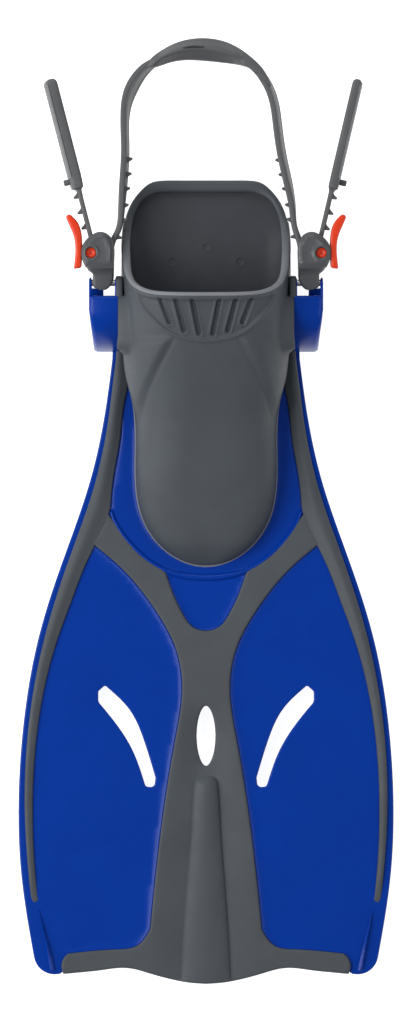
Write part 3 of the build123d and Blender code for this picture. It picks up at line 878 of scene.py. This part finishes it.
def make_pocket():
    quarter = arch_angles(146)
    cut_z = float(rim_z_at(HEEL_CUT))
    low = float(pocket_base(HEEL_CUT))
    share = (cut_z - low) / (float(arch_top(60)) - low)
    cut_angle = math.asin(share ** (1 / ARCH))
    corner = int(np.abs(quarter - cut_angle).argmin())
    quarter[corner] = cut_angle
    angles = np.concatenate([quarter, math.pi - quarter[-2::-1]])
    c, s = np.cos(angles), np.maximum(np.sin(angles), 0)
    c[len(quarter) - 1] = 0
    last = len(angles) - 1
    low_y = np.full(len(angles), 40)
    high_y = np.full(len(angles), HEEL_CUT)
    for _ in range(40):
        test = (low_y + high_y) / 2
        _, z = arch_point(test, c, s)
        before = np.interp(-z, -rim_table_z, rim_table_y) > test
        low_y = np.where(before, test, low_y)
        high_y = np.where(before, high_y, test)
    end_y = (low_y + high_y) / 2
    end_y[: corner + 1] = HEEL_CUT
    end_y[last - corner :] = HEEL_CUT
    t = np.concatenate(
        [(np.arange(14) / 14) ** 1.8 * 0.09, np.linspace(0.09, 0.82, 99)[:-1],
         np.linspace(0.82, 1, 64)]
    )
    y = TOE_Y + t[:, None] * (end_y[None] - TOE_Y)
    x, z = arch_point(y, c[None], s[None])
    outer = np.stack([x, y, z], axis=2)
    n = np.cross(np.gradient(outer, axis=0), np.gradient(outer, axis=1))
    n /= np.maximum(np.linalg.norm(n, axis=2), 1e-9)[..., None]
    centre = np.stack([0 * x, y + 6, pocket_base(y) - 2], axis=2)
    n[((outer - centre) * n).sum(2) < 0] *= -1
    n[0] = (0, -1, 0)
    to_rim = np.linalg.norm(outer - outer[-1][None], axis=2)
    relief = pocket_relief(*outer.reshape(-1, 3).T).reshape(x.shape)
    relief *= smooth(t, 0, 0.12)[:, None]
    span = slice(corner, last - corner + 1)
    relief *= smooth(to_rim, 1.4, 4.6)
    relief[:, span] += 0.75 * (1 - smooth(to_rim[:, span], 2.6, 3.8))
    side = np.abs(c)[None] ** ARCH
    wall = 3 + 1.7 * smooth(side, 0.75, 1) * smooth(y, 45, 75)
    inner = outer - n * wall[..., None]
    inner[..., 2] = np.maximum(inner[..., 2], FLOOR)
    pad = window(y, 10.5, 14, 45.4, 46.6)
    arc = 41 + 9 * bow((y - 28.7) / 18.7)
    reach = (54.5 - np.abs(outer[..., 0])) * pad * (1 - smooth(outer[..., 2], arc - 4.5, arc))
    outer = outer + n * relief[..., None]
    outer[..., 0] += np.sign(c)[None] * np.clip(reach, 0, 9) * (outer[..., 2] > 3)

    heel = pocket_side[pocket_side[:, 1] >= HEEL_CUT][::3]
    heel = np.concatenate([[(float(pocket_half(HEEL_CUT)), HEEL_CUT)], heel[1:-1]])
    heel = np.concatenate([heel, [(0, pocket_side[-1][1])], flip(heel)])
    share = (outer[-1, : corner + 1, 2] - low) / (cut_z - low)
    thick = 4.7 + 2.7 * smooth(heel[:, 1], 108, 118)
    zs = low + share * (rim_z_at(heel[:, 1])[:, None] - low)
    rear_out = np.array([raised([spot], *row) for spot, row in zip(heel, zs)])[:, :, 0]
    rear_in = rear_out.copy()
    rear_in[..., :2] += (directions(heel)[1] * thick[:, None])[:, None]
    rear_in[..., 2] = np.maximum(rear_in[..., 2], FLOOR)
    for block, main in ((rear_out, outer), (rear_in, inner)):
        block[0] = main[-1, : corner + 1]
        block[-1] = main[-1, last : last - corner - 1 : -1]

    b = Build()

    def lay(grid, painted_highlight=False):
        rows, columns = grid.shape[:2]
        faces = [
            (k, k + 1, k + 1 + columns, k + columns)
            for i in range(rows - 1) for k in range(i * columns, (i + 1) * columns - 1)
        ]
        b.add(grid.reshape(-1, 3), faces, painted_highlight)

    for grid in (outer, inner, rear_out, rear_in):
        lay(grid)
    # the rim rolls over from the outer skin to the inner one, in the lighter rubber as a painted
    # highlight
    top_out = np.concatenate([outer[-1, span], rear_out[::-1, -1]])
    top_in = np.concatenate([inner[-1, span], rear_in[::-1, -1]])
    ahead = outer[-1, span] - outer[-3, span]
    up = np.array([0, 0, 1])
    roll = []
    for k, (o, i) in enumerate(zip(top_out, top_in)):
        way = up
        if k < len(ahead):
            mix = smooth(min(k, len(ahead) - 1 - k), 0, 6)
            way = ahead[k] / np.linalg.norm(ahead[k]) * mix + up * (1 - mix)
            way /= np.linalg.norm(way)
        half = (o - i) / 2
        depth = min(np.linalg.norm(half), 1.7)
        roll.append(
            [(o + i) / 2 + half * math.cos(a) + way * depth * math.sin(a)
             for a in np.linspace(0, math.pi, 9)]
        )
    lay(np.array([*roll, roll[0]]), painted_highlight=True)
    for outside, within in (
        (outer[:, 0], inner[:, 0]),
        (outer[:, last], inner[:, last]),
        (rear_out[:, 0], rear_in[:, 0]),
    ):
        lay(np.stack([outside, within], axis=1))
    # a bead round the foot of the toe end, in the lighter rubber as a painted highlight line
    foot = pocket_side[pocket_side[:, 1] < -14][::2]
    foot = np.concatenate([flip(foot), foot[1:]])
    rings = []
    for spot, across in zip(foot, directions(foot)[1]):
        size = 0.1 + 0.7 * smooth(-spot[1], 14, 36)
        rings.append(oval(spot, across, float(mid(spot[1])) + PLATE_HALF + 0.6, size, 1.4 * size))
    strip(b, rings, painted_highlight=True)
    # rubber sleeves over the ears on the pocket's side
    sleeve = chain(
        straight((45.2, 41.4), (PIN_Y, 39.9), 3),
        arc3((PIN_Y, 39.9), (58.8, 35), (PIN_Y, 30.1), 14),
        straight((PIN_Y, 30.1), (45.2, 31.2), 3),
    )
    middle = np.array([51, 35.5])
    for way in (-1, 1):
        strip(b, [
            [(way * x, *(middle + (p - middle) * share)) for p in sleeve]
            for x, share in ((51.6, 0.9), (52.3, 1), (55.3, 1), (55.8, 0.93))
        ])
    b.piece(
        "foot_pocket_moulding", "fin", RUBBER, "foot_pocket", 60,
        weld=0.02, painted_highlight=RIM_PAINTED_HIGHLIGHT,
    )


def inset_plan(inset, front_y, rear_y):
    """Pocket plan pulled in, between two stations."""
    y = np.linspace(front_y, rear_y, 80)
    x = pocket_half(y) - inset
    corner = rear_y - 9
    x = np.where(y > corner, x - 9 + 9 * bow((y - corner) / 9), x)
    return chain(pairs(x, y), flip(pairs(x, y)))


def make_insole():
    marks = [(0, 77), (-21, 68), (21, 68)]
    outline = inset_plan(3.9, -60, 113)

    def top(x, y, d):
        turn_up = 7.5 * np.clip(1 - d / 12.5, 0, 1) ** 2.4
        z = 9.6 - rounded(d, 0.8) * 0.9 + turn_up * window(y, -60, -30, 68, 92)
        for mx, my in marks:
            r = np.hypot(x - mx, y - my)
            z = z - 0.35 * (1 - smooth(r, 1.6, 2.2)) + 0.15 * bump(r, 2.6, 0.5)
        return z + 0.25 * np.cos(x / 9) * smooth(y, -20, 40)

    def bottom(x, y, d):
        return np.full_like(x, FLOOR + 0.4)

    extra = np.concatenate(
        [circle(mx, my, r, 18) for mx, my in marks for r in (0.6, 1.2, 1.7, 2.2, 2.7, 3.4)]
    )
    b = Build()
    plate(b, [outline], top, bottom, 3.4, (0.3, 0.8, 1.6, 3), extra)
    b.piece("insole_sheet", "fin", FOAM, "insole", 50)


def make_outsole():
    outline = inset_plan(7, -100, 113.4)

    def top(x, y, d):
        return SOLE_TOP + 0.1 + (mid(y) - FLAT_MID)

    def bottom(x, y, d):
        z = rounded(d, 1.4)
        for g in (-86, -66, -46, -26, 26, 46, 66, 86):
            z = np.maximum(z, 2.6 * (1 - smooth(np.abs(y - g), 1.3, 2.3)))
        arch = 2 * bump(y, 0, 13) * (1 - smooth(np.abs(x), 26, 34))
        ribs = 0.7 * (1 - smooth(np.abs(np.mod(x + 200, 9) - 4.5), 0.5, 1.2)) * smooth(d, 3, 6)
        return np.maximum(z, np.maximum(arch, ribs * (np.abs(y) > 16)))

    b = Build()
    plate(b, [outline], top, bottom, 1.5, (0.3, 0.8, 1.5))
    b.piece("outsole_tread", "fin", SOLE, "outsole", 50)


# --- strap

ROLLER_AT = (64.5, 72.5)
WRAP_R = 4
TAIL_ENDS = {"left": (-96.4, 180.4), "right": (93.8, 180.4)}
LOOP = [
    (-57.9, 79.6), (-54.6, 86.5), (-52.4, 99), (-51, 118), (-50, 137), (-50.3, 152), (-48.8, 167),
    (-43.5, 179.5), (-33.5, 190), (-18, 194.4), (0, 194.9), (14, 193.8), (26, 190), (35, 182),
    (41.4, 169), (44.3, 152), (46.9, 134), (50.6, 117), (53.4, 101), (55.2, 87.5), (57.9, 79.6),
]
LEG_LEAN = math.radians(36.9)
TAIL_RUN = 112  # along the strap from a tail's end to where the loop starts
GRIP_RUN = 70  # along the strap from a tail's end to the end of its grip


def side_path(side):
    """Right-hand run from the tail's end, round the roller, to the leg."""
    end = (abs(TAIL_ENDS[side][0]), TAIL_ENDS[side][1])
    dx, dy = end[0] - ROLLER_AT[0], end[1] - ROLLER_AT[1]
    lean = math.atan2(dy, dx) + math.asin(WRAP_R / math.hypot(dx, dy))
    a = np.linspace(lean - math.pi / 2, LEG_LEAN - math.pi, 16)
    turn = ROLLER_AT + WRAP_R * pairs(np.cos(a), np.sin(a))
    return np.concatenate([straight(end, turn[0], 1.3)[:-1], turn])


def sweep(build, path, half_t, half_h, tilt, corner, outwards):
    """Band along a plan path, on edge, with rounded corners."""
    rings = []
    for k, (p, n) in enumerate(zip(path, directions(path)[1])):
        ring = []
        for a, h in superbox(half_t[k], half_h[k], corner[k]):
            shift = a - outwards[k] + h * math.tan(tilt[k])
            ring.append((p[0] + n[0] * shift, p[1] + n[1] * shift, PIN_Z + h))
        rings.append(ring)
    strip(build, rings)


def make_strap():
    legs = {side: side_path(side) * [way, 1] for side, way in SIDES.items()}
    lead = legs["left"][-1] + np.array([math.sin(LEG_LEAN), math.cos(LEG_LEAN)]) * 2
    loop = curve([legs["left"][-1], lead, *LOOP, lead * [-1, 1], legs["right"][-1]], 1.3)
    b = Build()
    path = np.concatenate([legs["left"], loop[1:-1], legs["right"][::-1]])
    x, y = path.T
    run = run_along(path)
    ends = np.minimum(run, run[-1] - run)
    in_loop = smooth(ends, TAIL_RUN + 26, TAIL_RUN + 60)
    grip = 1 - smooth(ends, GRIP_RUN - 1, GRIP_RUN + 0.8)
    tip = np.sqrt(np.clip(1 - ((np.clip(3.2 - ends, 0, 3.2)) / 3.2) ** 2, 0.02, 1))
    half_t = 1.5 + 0.25 * in_loop + np.where(x < 0, 2.1, 1.5) * grip
    half_t = half_t * (0.35 + 0.65 * tip)
    half_h = 8 + 2.8 * in_loop + 1.8 * grip
    under_pad = (y > 180) & (np.abs(x) < 34) & (ends > 150)
    half_h = np.where(under_pad, half_h - 6.8 * smooth(34 - np.abs(x), 0, 8), half_h)
    half_h = half_h * (0.86 + 0.14 * tip)
    lean = np.where(x < 0, 0.09, -0.13) * in_loop
    lean = np.where(np.abs(x) < 30, 0, lean)
    lean += 0.16 * bump(y, 176, 12) * (x < -30) * in_loop
    lean += np.where(x < 0, 0.10, 0.04) * grip
    lean = np.convolve(np.pad(lean, 6, mode="edge"), np.ones(13) / 13, mode="valid")
    sweep(b, path, half_t, half_h, lean, 0.9 + 0.9 * grip, 0.6 * grip)
    # two raised lines along each face of the loop, in the lighter rubber as painted highlights
    _, left = directions(path)
    for face in (-1, 1):
        for level in (-0.62, 0.62):
            rings = []
            for k in range(4, len(path) - 4):
                if ends[k] >= TAIL_RUN + 12:
                    h, tilt = half_h[k] * level, math.tan(lean[k])
                    spot = path[k] + left[k] * (half_t[k] * face + h * tilt)
                    rings.append(oval(spot, left[k], PIN_Z + h, 0.3, 0.55, tilt=tilt))
            strip(b, rings, painted_highlight=True)
    for side, leg in legs.items():
        end = leg[0]
        up = (leg[0] - leg[20]) / np.linalg.norm(leg[0] - leg[20])
        out = np.array([up[1], -up[0]]) * SIDES[side]
        # a raised line along the outer side of the grip's upper edge, in the lighter rubber as a
        # painted highlight
        spots = [end - up * u + out * 2.5 for u in np.linspace(3, 62, 30)]
        strip(b, [oval(spot, out, PIN_Z + 9.6, 0.55, 0.75) for spot in spots], painted_highlight=True)
        stud = end - up * 64.5 + out * 3
        strip(b, [
            oval(stud + out * u, up, PIN_Z, r, r, 18)
            for r, u in ((1.9, 0), (1.9, 4.1), (1.75, 4.7), (1.4, 5), (0.9, 4.8))
        ])
        for u in (3.7, 13.7, 23.5, 33.3):
            barb(b, end - up * (108.6 - u) + out * 1.5, up, out)
    loop_run = run_along(loop)
    loop_along, loop_left = directions(loop)
    for i in range(1, 7):
        for way in (1, -1):
            at = 6.4 + 9.65 * i
            thick = 1.5 + 0.5 * smooth(at, 26, 60)
            k = int(np.abs(loop_run - (at if way > 0 else loop_run[-1] - at)).argmin())
            inward = loop_left[k] * (-1 if loop_left[k][0] * loop[k][0] > 0 else 1)
            barb(b, loop[k] + inward * (thick - 0.2), -way * loop_along[k], inward)
    b.piece(
        "heel_strap_band", "strap", STRAP, "heel_strap", 40, painted_highlight=STRAP_PAINTED_HIGHLIGHT
    )


def barb(build, at, along, out):
    """Saw tooth on the strap: an upright face and a ramp that runs away from it."""
    outline = [(-0.5, -0.6), (-0.15, 2.4), (0.35, 3), (1.05, 2.7), (2.3, 0.8), (4, -0.6)]
    rings = []
    for z, share in ((-6.5, 0.86), (-6.1, 1), (6.1, 1), (6.5, 0.86)):
        spots = [at + along * (1.2 + (a - 1.2) * share) + out * (o * share) for a, o in outline]
        rings += raised(spots, PIN_Z + z)
    strip(build, rings)


def make_heel_pad():
    rear = curve(
        [(-37.6, 188.4), (-34.6, 192.6), (-29.5, 197), (-19.5, 202.6), (0, 205.8), (16, 202),
         (26.8, 194.9), (33.4, 188.9), (37.6, 183), (40.2, 176.8)], 1
    )
    front = curve(
        [(-36.2, 187.2), (-31.5, 187.9), (-22, 190.9), (0, 191.8), (17.6, 189.8), (26.5, 187.6),
         (33.2, 182.6), (38.6, 176.2)], 1
    )
    left = arc3(front[0], (-37.4, 187.4), rear[0], 4)
    right = arc3(rear[-1], (39.5, 175.8), front[-1], 4)
    outline = chain(left, rear, right, front[::-1])

    def shape(x, y, d, way):
        p = pairs(x, y)
        to_rear = gap_to(p, rear)
        u = to_rear / np.maximum(to_rear + gap_to(p, front), 1e-6)
        body = window(x, -34, -26, 16, 24)
        z = 10.6 + 1.4 * window(x, -38, -30, 26, 40) - rounded(d, 1.4)
        z = z - 4.8 * (1 - smooth(u, 0, 0.42)) * body
        z = z + (bump(u, 0.48, 0.12) - 6 * smooth(u, 0.5, 1)) * body
        if way > 0:
            slot = gap_to(p, np.array([(-14, 199.3), (-7.5, 200.1), (-1, 200)]))
            lens = bow((x + 7.5) / 8.8)
            z = z - 2.4 * lens**2 * (1 - smooth(slot, 0.15 * lens, 0.25 + 0.6 * lens))
        return z

    slot_line = curve([(-15.4, 199.4), (-7.5, 200.5), (0.4, 200.6)], 0.8)
    extra = [slot_line + [0, shift] for shift in np.arange(-2, 2.1, 0.5)]
    at = np.linspace(0.04, 0.96, 76)
    rear_row, front_row = (
        pairs(*(np.interp(at, np.linspace(0, 1, len(line)), c) for c in line.T))
        for line in (rear, front)
    )
    for share in (0.34, 0.42, 0.48, 0.54, 0.62, 0.72):
        extra.append(rear_row + (front_row - rear_row) * share)
    extra = thin(np.concatenate(extra), 0.35)
    extra = clear_of(extra, [outline], 0.9)
    b = Build()
    slab(b, [outline], shape, 1.4, (0.25, 0.6, 1.1, 1.8), extra)
    b.piece("heel_pad_cover", "strap", STRAP, "heel_pad", 55)


# --- buckles and levers

BUCKLE = [
    (71.9, 83.1), (65.1, 85.9), (59.6, 83.4), (56.9, 77), (56.9, 66), (57.9, 55), (63.2, 49.8),
    (69.6, 52), (73, 60.5), (76.6, 68.5), (76.4, 77.5),
]
LEVER_AT = (71.3, 72.85)
TRUNNION_R = 3.3


def ring_curve(points, step):
    """Smooth closed line: one turn, from the first point back to it."""
    line = curve(points[-3:] + points + points[:3], step)
    order = [int(k) for k in np.argsort(np.hypot(*(line - points[0]).T))[:6]]
    other = next(k for k in order if abs(k - order[0]) > 10)
    return line[min(order[0], other) : max(order[0], other)]


def buckle_span(plan, y):
    """Left and right reach of the buckle's plan at a station."""
    hits = []
    for (ax, ay), (bx, by) in zip(plan, np.roll(plan, -1, axis=0)):
        if (ay - y) * (by - y) <= 0 and ay != by:
            hits.append(ax + (bx - ax) * (y - ay) / (by - ay))
    return min(hits), max(hits)


def make_buckles():
    plan = ring_curve(BUCKLE, 0.9)
    cheek = plan[plan[:, 1] > 63.6]
    break_at = int(np.argmax(np.linalg.norm(np.roll(cheek, -1, axis=0) - cheek, axis=1)))
    cheek = np.roll(cheek, -(break_at + 1), axis=0)
    cheek = chain(cheek, straight(cheek[-1], cheek[0], 1.2))
    hole = circle(*LEVER_AT, TRUNNION_R + 0.1, 30)

    def flare(y):
        return np.interp(
            y, [49, 54.5, 59.7, 61.5, 62.3, 63.2, 64, 65, 67, 69, 72],
            [4.2, 5.2, 6.2, 7.4, 8.7, 10.3, 11.2, 11.8, 12.6, 13.2, 14.5],
        )

    def top(x, y, d):
        p = pairs(x, y)
        hub = np.hypot(x - LEVER_AT[0], y - LEVER_AT[1])
        outer = distance(p, [cheek])
        z = 48.1 - 2.3 * smooth(3.4 - outer, 0, 3.4) ** 1.4 - 0.25 * rounded(d, 0.6)
        z = z - 0.5 * smooth(outer, 3.6, 4.6) * smooth(hub, 4.8, 5.8)
        z = np.minimum(z + 0.45 * bump(hub, 4.4, 0.7), PIN_Z + flare(y) + 0.3)
        return np.maximum(z, PIN_Z + 11.3)

    def flat(x, y, d):
        return np.full_like(x, PIN_Z + 10.8)

    extra = np.concatenate([circle(*LEVER_AT, r, 34) for r in (3.8, 4.3, 4.8, 5.4, 6)])
    extra = clear_of(extra, [cheek], 0.8)

    def draw(b):
        plate(b, [cheek, hole], top, flat, 1.3, (0.2, 0.6, 1.4, 2.6), extra)
        b.add([(x, y, 2 * PIN_Z - z) for x, y, z in b.v], [f[::-1] for f in b.f])
        rings = []
        for y in np.linspace(50.1, 66.4, 22):
            x0, x1 = buckle_span(plan, y)
            x0, x1 = max(x0, 57), min(x1, 70.1 + 3.3 * smooth(y, 59.4, 63))
            box = superbox((x1 - x0) / 2, float(flare(y)), 1.6)
            rings.append([((x0 + x1) / 2 + a, y, PIN_Z + h) for a, h in box])
        strip(b, rings)

    on_both_sides(
        draw, "{}_buckle_shell", "{}_buckle", SHELL, "{}_buckle_body", 40
    )


def make_levers():
    out = curve([(81.8, 63.9), (80.9, 73), (81.9, 83.2), (85.2, 91.2), (86.6, 94.4)], 1)
    back = curve([(83.6, 96.4), (79.2, 91.5), (76.9, 83.5), (76.7, 73), (77, 65)], 1)
    handle = chain(
        out, arc3((86.6, 94.4), (86, 96.1), (83.6, 96.4), 7), back,
        arc3((77, 65), (77.4, 64.1), (78.2, 63.6), 3),
        arc3((80.4, 63.3), (81.5, 63.3), (81.8, 63.9), 4),
    )
    corners = [(78, 69), (73.8, 69), (71.3, 72.2), (73.3, 77.4), (78, 77.4)]
    pawl = chain(
        *(straight(a, b, 1) for a, b in zip(corners, corners[1:])),
        straight(corners[-1], corners[0], 1.4),
    )
    arm = chain(circle(*LEVER_AT, 3.2, 20)[3:-3], [(77.2, 70.9), (77.2, 74.9)])
    trunnion = (
        (8.3, 3.24), (10.9, 3.24), (11.2, 3.1), (11.2, 2.7), (10.6, 2.2), (10.3, 1.2), (10.2, 0.3),
    )

    def draw(b):
        slab(b, [handle], lambda x, y, d, up: 10.3 - rounded(d, 1.3), 1.2, (0.2, 0.6, 1.2))
        slab(b, [pawl], lambda x, y, d, up: 8.2 - rounded(d, 0.5), 1.2, (0.3,))
        for up in (-1, 1):
            rings = []
            for z, r in trunnion:
                rings += raised(circle(*LEVER_AT, r, 26)[::up], PIN_Z + up * z)
            strip(b, rings)
            strip(b, raised(arm, PIN_Z + up * 8.2, PIN_Z + up * 10.2))

    on_both_sides(draw, "{}_lever_grip", "{}_lever", ORANGE, "{}_lever", 40)


def make_springs():
    """Bowed leaf from the buckle's wedge to the lever's foot."""
    outer = arc3((71, 61.2), (74.6, 64.6), (76, 69), 16)
    inner = arc3((71, 61.6), (74.3, 64.8), (75.6, 69), 16)
    rings = [
        [(*o, PIN_Z - 3), (*o, PIN_Z + 3), (*i, PIN_Z + 3), (*i, PIN_Z - 3)]
        for o, i in zip(outer, inner)
    ]
    leaves = on_both_sides(
        lambda b: strip(b, rings), "{}_spring_leaf", None, STEEL, "{}_lever_spring", 40
    )
    for obj, (name, way) in zip(leaves, SIDES.items()):
        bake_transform(obj)


def dress_cad_nodes():
    """Pins and rollers keep their CAD shape and get their own finish."""
    for side in SIDES:
        for part, material in (("roller", SHELL), ("roller_pin", STEEL), ("swivel_pin", STEEL)):
            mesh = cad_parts[f"{side}_{part}"].data
            mesh.materials.clear()
            mesh.materials.append(material)


# --- studio


def make_stage():
    bpy.context.scene.view_settings.view_transform = "Standard"
    size, lift, steps = 24, -0.0006, 12
    mesh = bpy.data.meshes.new("studio_floor")
    ticks = (np.arange(steps + 1) / steps - 0.5) * size
    verts = [(x, y, lift) for x in ticks for y in ticks]
    row = steps + 1
    corners = [i * row + j for i in range(steps) for j in range(steps)]
    mesh.from_pydata(verts, [], [(k, k + row, k + row + 1, k + 1) for k in corners])
    floor = placed("studio_floor", mesh)
    material, nodes, links, b = shader("studio_white", (0.93, 0.93, 0.93), 0.9, specular=0.1)
    cloud = noise(nodes, links, 1.5)
    stops = [(0, (0.52, 0.52, 0.52)), (1, (0.56, 0.56, 0.56))]
    ramp(nodes, links, cloud.outputs["Fac"], stops, b.inputs["Base Color"])
    b.inputs["Emission Color"].default_value = (1, 1, 1, 1)
    b.inputs["Emission Strength"].default_value = 0.9
    mesh.materials.append(material)

    world = bpy.data.worlds.new("studio")
    bpy.context.scene.world = world
    world.use_nodes = True
    background = world.node_tree.nodes["Background"]
    background.inputs["Color"].default_value = (1, 1, 1, 1)
    background.inputs["Strength"].default_value = 0.3

    def soft_box(name, place, aim, watts, width, height):
        light = bpy.data.lights.new(name, "AREA")
        light.shape = "RECTANGLE"
        light.size, light.size_y = width, height
        light.energy = watts
        lamp = placed(name, light)
        lamp.location = place
        lamp.rotation_mode = "QUATERNION"
        lamp.rotation_quaternion = (Vector(aim) - Vector(place)).to_track_quat("-Z", "Y")

    soft_box("key", (-1.35, -0.15, 1.3), (0, -0.12, 0), 36, 1.1, 1.7)
    soft_box("fill", (2, -0.5, 2), (0, -0.08, 0), 17, 1.8, 1.8)
    soft_box("heel_rim", (-0.3, 2.2, 1.8), (0, 0.05, 0), 24, 1.8, 1.2)

    lens = bpy.data.cameras.new("front_camera")
    lens.lens = 500
    lens.sensor_width = 36
    camera = placed("front_camera", lens)
    camera.location = (-0.0025, -0.0874, 0.02 + 0.3175 * 500 / 18)
    lens.clip_start, lens.clip_end = 0.1, 40
    bpy.context.scene.camera = camera


make_stage()
make_blade()
make_rails()
make_web()
make_pocket()
make_insole()
make_outsole()
make_strap()
make_heel_pad()
make_buckles()
make_levers()
make_springs()
dress_cad_nodes()
